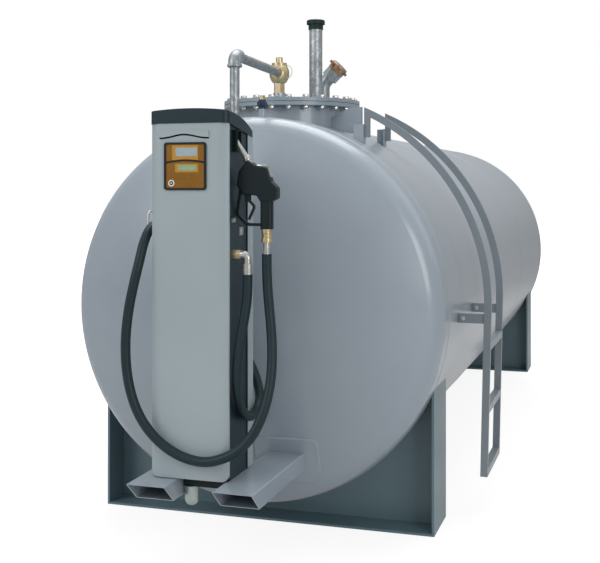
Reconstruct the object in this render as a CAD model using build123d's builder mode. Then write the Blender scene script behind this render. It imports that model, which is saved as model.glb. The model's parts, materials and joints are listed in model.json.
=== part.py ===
from build123d import *
import os
from math import asin, cos, hypot, pi, radians, sin, sqrt, tan

# Horizontal steel storage tank on two saddles, with a manhole and its pipework, a ladder, and a
# fuel dispenser on a bracket at the front end.
# Millimetres, +Z up. The origin is on the ground under the tank's axis, in the middle of the
# front saddle. The tank runs along +Y, the dispenser is at -Y and the ladder at +X.

os.makedirs("parts", exist_ok=True)

# How far a cutting body reaches past what it cuts
overrun = 60.0

# Radial play between a pin and the piece that turns on it
pin_play = 0.05

# Tank body: three rolled courses between two dished ends
tank_radius = 800.0
ground_clearance = 110.0
shell_wall = 5.0
shell_start_y = -140.0
course_length = 1427.0
course_names = ("front", "middle", "rear")
skirt_length = 100.0
knuckle_radius = 90.0
crown_radius = 1900.0

# Saddles: an upright web between two side flanges, on a base plate
saddle_spacing = 3942.0
saddle_inset = 64.0
saddle_depth = 280.0
saddle_plate = 10.0

# Manhole on top of the front course
manhole_y = 260.0
neck_radius = 254.0
neck_wall = 8.0
neck_rise = 64.0
flange_radius = 312.0
flange_thickness = 16.0
gasket_thickness = 2.0
gasket_width = 34.0
cover_thickness = 16.0

# Vent pipe on the cover
vent_x = 112.0
vent_setback = 10.0
vent_radius = 30.2
vent_wall = 3.6
vent_length = 352.0
vent_cap_radius = 42.0
vent_cap_neck_radius = 34.0
vent_cap_neck_height = 24.0
vent_cap_brim_height = 20.0
vent_cap_grip = 20.0
vent_cap_round = 6.0

# Fill branch on the cover, bent outwards and closed by a lugged cap
fill_x = 114.0
fill_setback = 125.0
fill_radius = 30.2
fill_rise = 92.0
fill_bend_radius = 60.0
fill_run = 40.0
fill_angle = 45.0
fill_socket_radius = 39.0
fill_socket_length = 44.0
fill_cap_radius = 41.0
fill_cap_length = 36.0
fill_cap_round = 4.0
fill_lug_count = 6
fill_lug_reach = 11.0
fill_lug_width = 9.0
fill_lug_length = 12.0
fill_lug_setback = 14.0

# Suction valve on the cover, and the pipe that leads from it to the dispenser
valve_x = -4.0
valve_setforward = 170.0
valve_pad_radius = 43.0
valve_pad_height = 16.0
valve_socket_radius = 28.0
valve_socket_height = 12.0
valve_hex_radius = 25.0
valve_foot_radius = 29.0
valve_foot_drop = 45.0
valve_body_radius = 44.5
valve_body_drop = 8.0
valve_shoulder_radius = 35.0
valve_shoulder_rise = 30.0
valve_outlet_rise = 119.0
valve_boss_radius = 24.0
valve_boss_length = 52.0
valve_collar_radius = 34.0
valve_collar_height = 13.0
valve_knob_radius = 15.0
valve_knob_height = 26.0
suction_radius = 19.0
riser_x = 33.0
riser_setback = 51.0
riser_foot_rise = 648.0
elbow_radius = 25.5
elbow_leg = 46.0
elbow_bend = 30.0
hex_sides = 6

# Leak test valve in front of the neck, with a quarter-turn lever on its front
test_x = 12.0
test_y = -180.0
test_stub_radius = 15.5
test_stub_rise = 36.0
test_body_radius = 18.0
test_body_height = 40.0
test_waist_radius = 15.0
test_cap_radius = 12.5
test_cap_height = 18.0
test_boss_radius = 9.0
test_boss_length = 5.0
test_stem_radius = 4.0
test_stem_length = 8.5
test_lever_length = 24.0
test_lever_width = 14.0
test_lever_thickness = 4.0
test_lever_gap = 0.4

# Ladder: two bent box-section rails that lean in towards the ground, three rungs and their fixings
ladder_spacing = 400.0
rail_depth = 30.0
rail_width = 20.0
rail_clearance = 126.0
rail_bend_radius = 895.0
rail_lean = 1.3
rail_bottom_z = 208.0
rail_top_x = 396.0
rail_top_rise = 30.0
rail_leg_width = 24.0
rail_leg_drop = 78.0
rung_size = 30.0
rung_pitch = 264.0
rung_count = 3
standoff_drop = 62.0
standoff_height = 40.0
standoff_thickness = 8.0
standoff_setoff = 6.0
tab_length = 50.0
angle_size = 44.0
angle_thickness = 6.0
angle_top_drop = 22.0
neck_plate_thickness = 8.0
neck_plate_gap = 12.0
neck_plate_shoulder = 70.0
neck_plate_inner_drop = 32.0
neck_plate_inner_rise = 12.0
neck_plate_outer_drop = 70.0
neck_plate_outer_rise = 54.0

# Bracket: two box tubes on doubling plates, with mitred front ends
bracket_x = 22.0
tube_spacing = 328.0
tube_width = 150.0
tube_height = 72.0
tube_wall = 4.0
tube_corner = 6.0
tube_top_z = 362.0
tube_reach = 111.0
tube_mitre = 85.0
doubler_width = 250.0
doubler_height = 180.0
doubler_thickness = 6.0
doubler_corner = 26.0
doubler_rise = 56.0

# Dispenser column of folded sheet, with a moulded panel let into its right side
column_x = -22.5
column_width = 300.0
column_height = 1286.0
column_front_y = -871.0
column_depth = 264.0
column_sheet = 2.0
base_thickness = 10.0
base_drop = 34.0
base_side_gap = 6.0
base_setback = 20.0
panel_gap = 3.0
panel_edge_width = 40.0
panel_edge_depth = 12.0
panel_return = 12.0
panel_corner = 18.0
panel_corner_share = 0.36
back_return = 57.0
bay_recess = 4.0

# Hood: its underside falls towards the back, and its top is crowned both ways
hood_drop = 43.0
hood_overhang = 4.0
hood_height = 51.0
hood_station_shares = (0.0, 0.35, 0.7, 1.0)
hood_height_shares = (0.86, 1.0, 0.84, 0.38)
hood_crown = 9.0
hood_edge_round = 9.0
hood_corner = 24.0

# Display and flap on the front panel, with a slot under the flap's waved edge
display_offset = -12.5
display_drop = 155.0
display_width = 164.0
display_height = 172.0
display_corner = 10.0
bezel_width = 7.0
bezel_thickness = 6.0
display_thickness = 3.0
flap_offset = -18.0
flap_drop = 28.0
flap_width = 194.0
flap_height = 23.0
flap_wave = 13.0
flap_thickness = 4.0
slot_height = 6.0

# Filter bowl under the column
bowl_offset = -13.5
bowl_setback = 61.0
bowl_radius = 25.0
bowl_length = 72.0
bowl_round = 22.0
bowl_collar_radius = 27.0
bowl_collar_height = 12.0

# Wire hook for the hose on the column's left side
hook_setback = 141.0
hook_rise = 878.0
hook_reach = 68.0
hook_height = 86.0
hook_spread = 40.0
hook_wire_radius = 4.0
hook_bend = 18.0

# Hose outlet on the bay
outlet_setback = 55.0
outlet_rise = 814.0
outlet_nut_radius = 18.0
outlet_nut_length = 32.0
outlet_pipe_radius = 13.0
outlet_reach = 60.5
outlet_drop = 36.0
outlet_bend = 18.0
ferrule_radius = 17.0
ferrule_length = 36.0

# Delivery nozzle, hung by its spout in a pocket of the bay. Its reaches are measured from its
# inner end, its rises and drops from its lower edge.
nozzle_setback = 91.0
nozzle_stand = 9.5
nozzle_drop = 282.0
nozzle_width = 156.0
nozzle_height = 158.0
nozzle_thickness = 44.0
nozzle_round = 9.0
nozzle_edge_round = 7.0
nozzle_outline_shares = (
    (0.27, 0.95), (0.47, 0.83), (0.74, 0.78), (0.85, 0.46), (1.00, 0.31), (1.00, 0.08),
    (0.86, 0.00), (0.58, 0.00), (0.50, 0.13), (0.16, 0.15), (0.00, 0.37), (0.06, 0.70),
)
spout_radius = 11.0
spout_wall = 1.5
spout_foot_reach = 53.0
spout_foot_rise = 129.0
spout_length = 136.0
spout_angle = 55.0
grip_reach = 112.0
grip_width = 46.0
grip_depth = 36.0
grip_corner = 14.0
grip_drop = 100.0
grip_root_share = 0.25
guard_thickness = 16.0
guard_width = 11.0
guard_bend = 22.0
guard_inner_reach = -3.0
guard_turn_drop = 48.0
guard_turn_reach = 38.0
guard_drop = 84.0
guard_root_reach = 14.0
guard_root_rise = 52.0
lever_pin_reach = 39.0
lever_pin_rise = 7.0
lever_pin_radius = 3.0
lever_eye_radius = 7.0
lever_thickness = 10.0
lever_width = 8.0
lever_bend = 14.0
lever_knee_reach = 65.0
lever_knee_drop = 18.0
lever_tip_reach = 43.0
lever_tip_drop = 66.0
lug_gap = 0.5
lug_thickness = 5.0
lug_width = 18.0
lug_height = 34.0
swivel_radius = 20.0
swivel_neck_radius = 17.0
swivel_height = 48.0
swivel_ring_height = 14.0
tail_reach = 111.0
tail_radius = 12.0
tail_length = 42.0

# Pocket in the bay that takes the spout
pocket_rise = 190.0
pocket_width = 66.0
pocket_height = 66.0
pocket_depth = 46.0
pocket_stand = 10.0
pocket_wall = 3.0
pocket_floor = 10.0

# Delivery hose, from the outlet round the hook to the nozzle
hose_radius = 18.0
hose_route = [
    (184, -816, 1104), (184, -816, 1030), (176, -822, 960), (163, -829, 880), (152, -833, 795),
    (147, -827, 708), (147, -802, 630), (149, -752, 582), (151, -690, 564), (152, -628, 576),
    (147, -577, 614), (122, -551, 682), (76, -542, 768), (20, -543, 858), (-36, -546, 952),
    (-95, -554, 1046), (-152, -568, 1130), (-198, -602, 1210), (-210, -664, 1262),
    (-211, -732, 1281), (-211, -798, 1266), (-211, -848, 1218), (-216, -876, 1146),
    (-233, -888, 1062), (-252, -894, 964), (-263, -898, 846), (-252, -901, 712),
    (-211, -904, 596), (-140, -906, 510), (-48, -907, 456), (50, -907, 437), (132, -905, 460),
    (196, -899, 500), (240, -887, 560), (266, -869, 630), (279, -844, 710), (279, -819, 800),
    (269, -799, 896), (254, -786, 996), (244, -780, 1098), (244, -780, 1176),
]
hose_arc_share = 0.45

# Places worked out from the sizes above
axis_height = ground_clearance + tank_radius
saddle_width = 2 * (tank_radius - saddle_inset)
shell_end_y = shell_start_y + len(course_names) * course_length
front_tangent_y = shell_start_y - skirt_length
rear_tangent_y = shell_end_y + skirt_length
tank_top_z = axis_height + tank_radius
flange_bottom_z = tank_top_z + neck_rise
gasket_bottom_z = flange_bottom_z + flange_thickness
cover_bottom_z = gasket_bottom_z + gasket_thickness
cover_top_z = cover_bottom_z + cover_thickness
ladder_near_y = manhole_y - ladder_spacing / 2
ladder_far_y = manhole_y + ladder_spacing / 2
column_rear_y = column_front_y + column_depth
column_left_x = column_x - column_width / 2
column_right_x = column_x + column_width / 2
bay_x = column_right_x - bay_recess
bay_front_y = column_front_y + panel_edge_depth + panel_return
bay_rear_y = column_rear_y - back_return
panel_bottom_z = tube_top_z + panel_gap
tube_front_y = column_front_y - tube_reach
tube_xs = {"left": bracket_x - tube_spacing / 2, "right": bracket_x + tube_spacing / 2}
hood_front_z = tube_top_z + column_height
nozzle_x = bay_x + nozzle_stand
nozzle_y = column_front_y + nozzle_setback
nozzle_z = hood_front_z - nozzle_drop

# Crown and knuckle of a dished end share a tangent at this angle from the tank's axis
crown_angle = asin((tank_radius - knuckle_radius) / (crown_radius - knuckle_radius))
crown_center_offset = (crown_radius - knuckle_radius) * cos(crown_angle)
crown_center = (0, front_tangent_y + crown_center_offset, axis_height)
crown_front_y = crown_center[1] - crown_radius

tank_axis = Axis((0, 0, axis_height), (0, 1, 0))
front_end_plane = Plane((0, front_tangent_y, axis_height), x_dir=(0, 1, 0), z_dir=(1, 0, 0))
rear_end_plane = Plane((0, rear_tangent_y, axis_height), x_dir=(0, -1, 0), z_dir=(-1, 0, 0))
hood_plane = Plane(
    (column_x, column_front_y, hood_front_z),
    x_dir=(1, 0, 0),
    z_dir=(0, hood_drop / column_depth, 1),
)


def save(piece, label):
    """Name a finished piece and write it to a STEP file of that name."""
    piece.part.label = label
    export_step(piece.part, f"parts/{label}.step")


def upright(y):
    """An upright plane across the tank: X to the right, Z up. A negative extrusion runs to +Y."""
    return Plane.XZ.offset(-y)


def trim_to_tank(radius):
    """Cut the active part back to a cylinder about the tank's axis."""
    with BuildSketch(upright(front_tangent_y)) as tank_section:
        with Locations((0, axis_height)):
            Circle(radius)
    extrude(
        tank_section.sketch, amount=front_tangent_y - rear_tangent_y, mode=Mode.SUBTRACT
    )


def half_end(inset):
    """Half outline of a dished end, from the skirt's rim over the knuckle to the crown's middle."""
    knuckle = knuckle_radius - inset
    crown = crown_radius - inset

    def on_knuckle(angle):
        return (-knuckle * cos(angle), tank_radius - knuckle_radius + knuckle * sin(angle))

    def on_crown(angle):
        return (crown_center_offset - crown * cos(angle), crown * sin(angle))

    rim = (skirt_length, tank_radius - inset)
    top = on_knuckle(radians(90))
    Line(rim, top)
    ThreePointArc(top, on_knuckle((radians(90) + crown_angle) / 2), on_crown(crown_angle))
    ThreePointArc(on_crown(crown_angle), on_crown(crown_angle / 2), on_crown(0))
    return rim, on_crown(0)


def tube_along(radius, *points, bend=None):
    """Sweep a round section along straight runs, with each corner rounded to the given bend."""
    with BuildLine() as path:
        if bend is None:
            Polyline(*points)
        else:
            FilletPolyline(*points, radius=bend)
    with BuildSketch(Plane(path.line @ 0, z_dir=path.line % 0)) as section:
        Circle(radius)
    sweep(section.sketch, path=path.line)


# Tank body

for index, name in enumerate(course_names):
    course_start_y = shell_start_y + index * course_length
    with BuildPart() as course:
        with BuildSketch(upright(course_start_y)):
            with Locations((0, axis_height)):
                Circle(tank_radius)
                Circle(tank_radius - shell_wall, mode=Mode.SUBTRACT)
        extrude(amount=-course_length)
        if course_start_y < manhole_y < course_start_y + course_length:
            with BuildSketch(Plane.XY.offset(axis_height)):
                with Locations((0, manhole_y)):
                    Circle(neck_radius)
            extrude(amount=tank_radius + overrun, mode=Mode.SUBTRACT)
    save(course, f"shell_{name}_course")

for name, end_plane in (("front", front_end_plane), ("rear", rear_end_plane)):
    with BuildPart() as dished_end:
        with BuildSketch(end_plane):
            with BuildLine():
                outer_rim, outer_middle = half_end(0)
                inner_rim, inner_middle = half_end(shell_wall)
                Line(outer_rim, inner_rim)
                Line(outer_middle, inner_middle)
            make_face()
        revolve(axis=tank_axis)
    save(dished_end, f"{name}_dished_end")


# Saddles


def tank_underside(x):
    """Height of the tank's underside at a distance from its middle plane."""
    return axis_height - sqrt(tank_radius**2 - x**2)


saddle_ys = (0, saddle_spacing)
with BuildPart() as saddle_bases:
    with Locations(*[(0, saddle_y, saddle_plate / 2) for saddle_y in saddle_ys]):
        Box(saddle_width, saddle_depth, saddle_plate)
save(saddle_bases, "saddle_bases")

web_width = saddle_width - 2 * saddle_plate
web_height = tank_underside(web_width / 2) - saddle_plate
with BuildPart() as saddle_webs:
    with Locations(*[(0, saddle_y, saddle_plate + web_height / 2) for saddle_y in saddle_ys]):
        Box(web_width, saddle_plate, web_height)
    trim_to_tank(tank_radius)
save(saddle_webs, "saddle_webs")

flange_x = (saddle_width - saddle_plate) / 2
flange_height = tank_underside(saddle_width / 2) - saddle_plate
with BuildPart() as saddle_flanges:
    for saddle_y in saddle_ys:
        with Locations((-flange_x, saddle_y, saddle_plate + flange_height / 2),
                       (flange_x, saddle_y, saddle_plate + flange_height / 2)):
            Box(saddle_plate, saddle_depth, flange_height)
    trim_to_tank(tank_radius)
save(saddle_flanges, "saddle_flanges")


# Manhole

with BuildPart() as neck:
    with BuildSketch(Plane.XY.offset(axis_height)):
        with Locations((0, manhole_y)):
            Circle(neck_radius)
            Circle(neck_radius - neck_wall, mode=Mode.SUBTRACT)
    extrude(amount=flange_bottom_z - axis_height)
    trim_to_tank(tank_radius - shell_wall)
save(neck, "manhole_neck")

for label, bottom_z, thickness, outer, inner in (
    ("manhole_flange", flange_bottom_z, flange_thickness, flange_radius, neck_radius - neck_wall),
    ("manhole_gasket", gasket_bottom_z, gasket_thickness, neck_radius + gasket_width,
     neck_radius - neck_wall),
    ("manhole_cover", cover_bottom_z, cover_thickness, flange_radius, 0),
):
    with BuildPart() as ring:
        with BuildSketch(Plane.XY.offset(bottom_z)):
            with Locations((0, manhole_y)):
                Circle(outer)
                if inner:
                    Circle(inner, mode=Mode.SUBTRACT)
        extrude(amount=thickness)
    save(ring, label)


# Vent pipe and its cap

vent_y = manhole_y + vent_setback
with BuildPart() as vent_pipe:
    with BuildSketch(Plane.XY.offset(cover_top_z)):
        with Locations((vent_x, vent_y)):
            Circle(vent_radius)
            Circle(vent_radius - vent_wall, mode=Mode.SUBTRACT)
    extrude(amount=vent_length)
save(vent_pipe, "vent_pipe")

vent_cap_bottom_z = cover_top_z + vent_length - vent_cap_grip
with BuildPart() as vent_cap:
    with BuildSketch(Plane.XY.offset(vent_cap_bottom_z)):
        with Locations((vent_x, vent_y)):
            Circle(vent_cap_neck_radius)
    extrude(amount=vent_cap_neck_height)
    with BuildSketch(Plane.XY.offset(vent_cap_bottom_z + vent_cap_neck_height)):
        with Locations((vent_x, vent_y)):
            Circle(vent_cap_radius)
    extrude(amount=vent_cap_brim_height)
    fillet(vent_cap.edges().sort_by(Axis.Z)[-1], radius=vent_cap_round)
    with BuildSketch(Plane.XY.offset(vent_cap_bottom_z)):
        with Locations((vent_x, vent_y)):
            Circle(vent_radius)
    extrude(amount=vent_cap_grip, mode=Mode.SUBTRACT)
save(vent_cap, "vent_cap")


# Fill branch and its cap

fill_y = manhole_y + fill_setback
fill_way = (cos(radians(fill_angle)), 0, sin(radians(fill_angle)))
fill_foot = Vector(fill_x, fill_y, cover_top_z)
fill_knee = fill_foot + Vector(0, 0, fill_rise)
fill_mouth = fill_knee + Vector(*fill_way) * fill_run
fill_end = fill_mouth + Vector(*fill_way) * fill_socket_length
with BuildPart() as fill_branch:
    tube_along(fill_radius, fill_foot, fill_knee, fill_mouth, bend=fill_bend_radius)
    with BuildSketch(Plane(fill_mouth, z_dir=fill_way)):
        Circle(fill_socket_radius)
    extrude(amount=fill_socket_length)
save(fill_branch, "fill_branch")

with BuildPart() as fill_cap:
    with BuildSketch(Plane(fill_end, z_dir=fill_way)):
        Circle(fill_cap_radius)
    extrude(amount=fill_cap_length)
    fillet(fill_cap.faces().sort_by(Axis(fill_end, fill_way))[-1].edges(), radius=fill_cap_round)
    with BuildSketch(Plane(fill_end, z_dir=fill_way).offset(fill_lug_setback)):
        with PolarLocations(fill_cap_radius, fill_lug_count):
            Rectangle(2 * fill_lug_reach, fill_lug_width)
        Circle(fill_cap_radius / 2, mode=Mode.SUBTRACT)
    extrude(amount=fill_lug_length)
save(fill_cap, "fill_cap")


# Suction valve and the pipe to the dispenser

valve_y = manhole_y - valve_setforward
valve_at = (valve_x, valve_y)
pipe_z = cover_top_z + valve_outlet_rise
hex_bottom_z = cover_top_z + valve_pad_height + valve_socket_height
collar_z = pipe_z + valve_shoulder_rise
riser_y = column_rear_y + riser_setback
riser_foot_z = tube_top_z + riser_foot_rise
pipe_run = hypot(riser_x - valve_x, riser_y - valve_y)
pipe_way = Vector((riser_x - valve_x) / pipe_run, (riser_y - valve_y) / pipe_run, 0)
pipe_start = Vector(valve_x, valve_y, pipe_z)
pipe_corner = Vector(riser_x, riser_y, pipe_z)

with BuildPart() as suction_socket:
    with Locations((*valve_at, cover_top_z + valve_pad_height / 2)):
        Cone(valve_pad_radius, valve_socket_radius, valve_pad_height)
    with BuildSketch(Plane.XY.offset(cover_top_z + valve_pad_height)):
        with Locations(valve_at):
            Circle(valve_socket_radius)
    extrude(amount=valve_socket_height)
save(suction_socket, "suction_socket")

with BuildPart() as suction_valve:
    with BuildSketch(Plane.XY.offset(hex_bottom_z)):
        with Locations(valve_at):
            RegularPolygon(valve_hex_radius, hex_sides)
    extrude(amount=pipe_z - hex_bottom_z)
    # a barrel, fuller below the pipe than above it
    with BuildSketch(Plane(pipe_start, x_dir=(1, 0, 0), z_dir=(0, -1, 0))):
        with BuildLine():
            ThreePointArc(
                (valve_foot_radius, -valve_foot_drop),
                (valve_body_radius, -valve_body_drop),
                (valve_shoulder_radius, valve_shoulder_rise),
            )
            Polyline(
                (valve_shoulder_radius, valve_shoulder_rise),
                (0, valve_shoulder_rise),
                (0, -valve_foot_drop),
                (valve_foot_radius, -valve_foot_drop),
            )
        make_face()
    revolve(axis=Axis(pipe_start, (0, 0, 1)))
    with BuildSketch(Plane(pipe_start, z_dir=pipe_way)):
        Circle(valve_boss_radius)
    extrude(amount=valve_boss_length)
    with BuildSketch(Plane.XY.offset(collar_z)):
        with Locations(valve_at):
            Circle(valve_collar_radius)
    extrude(amount=valve_collar_height)
    with BuildSketch(Plane.XY.offset(collar_z + valve_collar_height)):
        with Locations(valve_at):
            Circle(valve_knob_radius)
    extrude(amount=valve_knob_height)
save(suction_valve, "suction_valve")

with BuildPart() as suction_pipe:
    tube_along(
        suction_radius,
        pipe_start + pipe_way * valve_boss_length,
        pipe_corner - pipe_way * elbow_leg,
    )
save(suction_pipe, "suction_pipe")

riser_foot = Vector(riser_x, riser_y, riser_foot_z)
riser_top = pipe_corner - Vector(0, 0, elbow_leg)
riser_bottom = riser_foot + Vector(0, 0, elbow_leg)
with BuildPart() as suction_elbows:
    tube_along(
        elbow_radius, pipe_corner - pipe_way * elbow_leg, pipe_corner, riser_top, bend=elbow_bend
    )
    tube_along(
        elbow_radius,
        riser_bottom,
        riser_foot,
        Vector(riser_x, column_rear_y, riser_foot_z),
        bend=elbow_bend,
    )
save(suction_elbows, "suction_elbows")

with BuildPart() as suction_riser:
    tube_along(suction_radius, riser_top, riser_bottom)
save(suction_riser, "suction_riser")


# Leak test valve

test_at = (test_x, test_y)
test_body_z = tank_top_z + test_stub_rise
test_stem_z = test_body_z + test_body_height / 2
test_boss_y = test_y - test_body_radius - test_boss_length

with BuildPart() as test_stub:
    with BuildSketch(Plane.XY.offset(axis_height)):
        with Locations(test_at):
            Circle(test_stub_radius)
    extrude(amount=test_body_z - axis_height)
    trim_to_tank(tank_radius)
save(test_stub, "test_stub")

with BuildPart() as test_valve:
    with BuildSketch(Plane.XY.offset(test_body_z)):
        with Locations(test_at):
            Circle(test_waist_radius)
    extrude(amount=test_body_height)
    with BuildSketch(upright(test_y)):
        with Locations((test_x, test_stem_z)):
            Circle(test_body_radius)
    extrude(amount=test_body_radius, both=True)
    with BuildSketch(upright(test_y)):
        with Locations((test_x, test_stem_z)):
            Circle(test_boss_radius)
    extrude(amount=test_y - test_boss_y)
    with BuildSketch(upright(test_boss_y)):
        with Locations((test_x, test_stem_z)):
            Circle(test_stem_radius)
    extrude(amount=test_stem_length)
save(test_valve, "test_valve")

with BuildPart() as test_cap:
    with BuildSketch(Plane.XY.offset(test_body_z + test_body_height)):
        with Locations(test_at):
            RegularPolygon(test_cap_radius, hex_sides)
    extrude(amount=test_cap_height)
save(test_cap, "test_cap")

with BuildPart() as test_lever:
    with BuildSketch(upright(test_boss_y - test_lever_gap)):
        with Locations((test_x + test_lever_length / 2, test_stem_z)):
            SlotCenterToCenter(test_lever_length, test_lever_width)
        with Locations((test_x, test_stem_z)):
            Circle(test_stem_radius + pin_play, mode=Mode.SUBTRACT)
    extrude(amount=test_lever_thickness)
save(test_lever, "test_lever")


# Ladder

rail_bend_x = tank_radius + rail_clearance - rail_bend_radius
rail_leg_x = rail_top_x + rail_leg_width / 2
rail_leg_top_z = tank_top_z + rail_top_rise
rail_leg_bottom_z = tank_top_z - rail_leg_drop
rail_bend_z = rail_leg_top_z - sqrt(rail_bend_radius**2 - (rail_leg_x - rail_bend_x) ** 2)
bend_foot_x = rail_bend_x + rail_bend_radius * cos(radians(rail_lean))
bend_foot_z = rail_bend_z - rail_bend_radius * sin(radians(rail_lean))


def rail_axis_x(z):
    """Place across of a rail's straight run at a height."""
    return bend_foot_x - (bend_foot_z - z) * tan(radians(rail_lean))


rail_outer_x = rail_bend_x + rail_bend_radius + rail_depth
rail_outer_z = rail_bend_z + rail_bend_radius + rail_depth
rail_ys = {"near": ladder_near_y, "far": ladder_far_y}
rails = []
for name, rail_y in rail_ys.items():
    with BuildPart() as rail:
        with BuildSketch(upright(rail_y - rail_width / 2)):
            with BuildLine():
                CenterArc((rail_bend_x, rail_bend_z), rail_bend_radius, -rail_lean, 90 + rail_lean)
                Line((bend_foot_x, bend_foot_z), (rail_axis_x(rail_bottom_z), rail_bottom_z))
            trace(line_width=rail_depth)
            with Locations(((rail_top_x + rail_outer_x) / 2, rail_outer_z / 2)):
                Rectangle(rail_outer_x - rail_top_x, rail_outer_z, mode=Mode.INTERSECT)
            with Locations((rail_leg_x, (rail_leg_bottom_z + rail_leg_top_z) / 2)):
                Rectangle(rail_leg_width, rail_leg_top_z - rail_leg_bottom_z)
        extrude(amount=-rail_width)
    save(rail, f"ladder_{name}_rail")
    rails.append(rail.part)

# flat bars from the shell's tabs to the rails' inner faces
standoff_z = rail_bend_z - standoff_drop
standoff_start_x = tank_radius + standoff_setoff
standoff_length = rail_axis_x(standoff_z) - standoff_start_x
standoff_x = standoff_start_x + standoff_length / 2
with BuildPart() as standoffs:
    with Locations(*[(standoff_x, rail_y, standoff_z) for rail_y in rail_ys.values()]):
        Box(standoff_length, standoff_thickness, standoff_height)
    add(rails, mode=Mode.SUBTRACT)
save(standoffs, "ladder_standoffs")

# tabs beside the standoffs, and angles that face away from each other against the rails' legs
with BuildPart() as shell_brackets:
    with Locations(*[
        (tank_radius, rail_y + standoff_thickness, standoff_z) for rail_y in rail_ys.values()
    ]):
        Box(2 * tab_length, standoff_thickness, standoff_height)
    with BuildSketch(Plane.XY.offset(axis_height)):
        with Locations(*[
            (rail_top_x - angle_thickness / 2, rail_y) for rail_y in rail_ys.values()
        ]):
            Rectangle(angle_thickness, angle_size)
        flange_offset = (angle_size - angle_thickness) / 2
        with Locations((rail_top_x - angle_size / 2, ladder_near_y - flange_offset),
                       (rail_top_x - angle_size / 2, ladder_far_y + flange_offset)):
            Rectangle(angle_size, angle_thickness)
    extrude(amount=tank_radius - angle_top_drop)
    trim_to_tank(tank_radius)
save(shell_brackets, "ladder_shell_brackets")

rung_zs = [rail_bottom_z + rung_size / 2 + index * rung_pitch for index in range(rung_count)]
with BuildPart() as rungs:
    with Locations(*[(rail_axis_x(rung_z), manhole_y, rung_z) for rung_z in rung_zs]):
        Box(rung_size, ladder_spacing - rail_width, rung_size)
save(rungs, "ladder_rungs")

# a plate that stands out from the neck towards the near rail
neck_plate_end_x = rail_top_x - neck_plate_gap
neck_plate_reach = hypot(neck_plate_end_x, ladder_near_y - manhole_y)
neck_plate_way = (neck_plate_end_x, ladder_near_y - manhole_y, 0)
neck_plate_side = (ladder_near_y - manhole_y, -neck_plate_end_x, 0)
neck_plate_root = neck_radius - neck_wall
with BuildPart() as neck_plate:
    with BuildSketch(
        Plane((0, manhole_y, tank_top_z), x_dir=neck_plate_way, z_dir=neck_plate_side)
    ):
        with BuildLine():
            Polyline(
                (neck_plate_root, -neck_plate_inner_drop),
                (neck_plate_reach, -neck_plate_outer_drop),
                (neck_plate_reach, neck_plate_outer_rise),
                (neck_plate_reach - neck_plate_shoulder, neck_plate_outer_rise),
                (neck_plate_root, neck_plate_inner_rise),
                close=True,
            )
        make_face()
    extrude(amount=neck_plate_thickness / 2, both=True)
    with BuildSketch(Plane.XY.offset(axis_height)):
        with Locations((0, manhole_y)):
            Circle(neck_radius)
    extrude(amount=tank_radius + neck_rise, mode=Mode.SUBTRACT)
    trim_to_tank(tank_radius)
save(neck_plate, "ladder_neck_plate")


# Bracket

doubler_middle_z = tube_top_z + doubler_rise - doubler_height / 2
mitre_plane = Plane(
    (0, tube_front_y, tube_top_z), x_dir=(1, 0, 0), z_dir=(0, -tube_height, -tube_mitre)
)
with BuildPart() as doublers:
    with BuildSketch(upright(crown_front_y - overrun)):
        with Locations(*[(tube_x, doubler_middle_z) for tube_x in tube_xs.values()]):
            RectangleRounded(doubler_width, doubler_height, doubler_corner)
    extrude(amount=crown_front_y - overrun)
    with Locations(crown_center):
        Sphere(crown_radius, mode=Mode.SUBTRACT)
        Sphere(crown_radius + doubler_thickness, mode=Mode.INTERSECT)
save(doublers, "bracket_doublers")

for side, tube_x in tube_xs.items():
    with BuildPart() as tube:
        with BuildSketch(upright(tube_front_y)):
            with Locations((tube_x, tube_top_z - tube_height / 2)):
                RectangleRounded(tube_width, tube_height, tube_corner)
                RectangleRounded(
                    tube_width - 2 * tube_wall,
                    tube_height - 2 * tube_wall,
                    tube_corner - tube_wall,
                    mode=Mode.SUBTRACT,
                )
        extrude(amount=tube_front_y)
        split(bisect_by=mitre_plane, keep=Keep.BOTTOM)
        with Locations(crown_center):
            Sphere(crown_radius + doubler_thickness, mode=Mode.SUBTRACT)
    save(tube, f"bracket_{side}_tube")


# Dispenser column


def front_plan(inset):
    """Plan of the front panel: flat in the middle, curved back to both edges, with returns."""
    left = column_left_x + inset
    right = column_right_x - inset
    front = column_front_y + inset
    edge = front + panel_edge_depth
    TangentArc((left + panel_edge_width, front), (left, edge), tangent=(-1, 0))
    Line((left, edge), (left, bay_front_y))
    Line((left, bay_front_y), (right, bay_front_y))
    Line((right, bay_front_y), (right, edge))
    TangentArc((right - panel_edge_width, front), (right, edge), tangent=(1, 0))
    Line((left + panel_edge_width, front), (right - panel_edge_width, front))


flap_left_x = column_x + flap_offset - flap_width / 2
flap_right_x = flap_left_x + flap_width
flap_top_z = hood_front_z - flap_drop
flap_bottom_z = flap_top_z - flap_height


def waved_edge(z):
    """The flap's lower edge: level at both ends and in the middle, which is higher."""
    ends = ((flap_left_x, z), ((flap_left_x + flap_right_x) / 2, z + flap_wave), (flap_right_x, z))
    Spline(*ends, tangents=[(1, 0), (1, 0), (1, 0)])


panel_height = hood_front_z - panel_bottom_z

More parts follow.
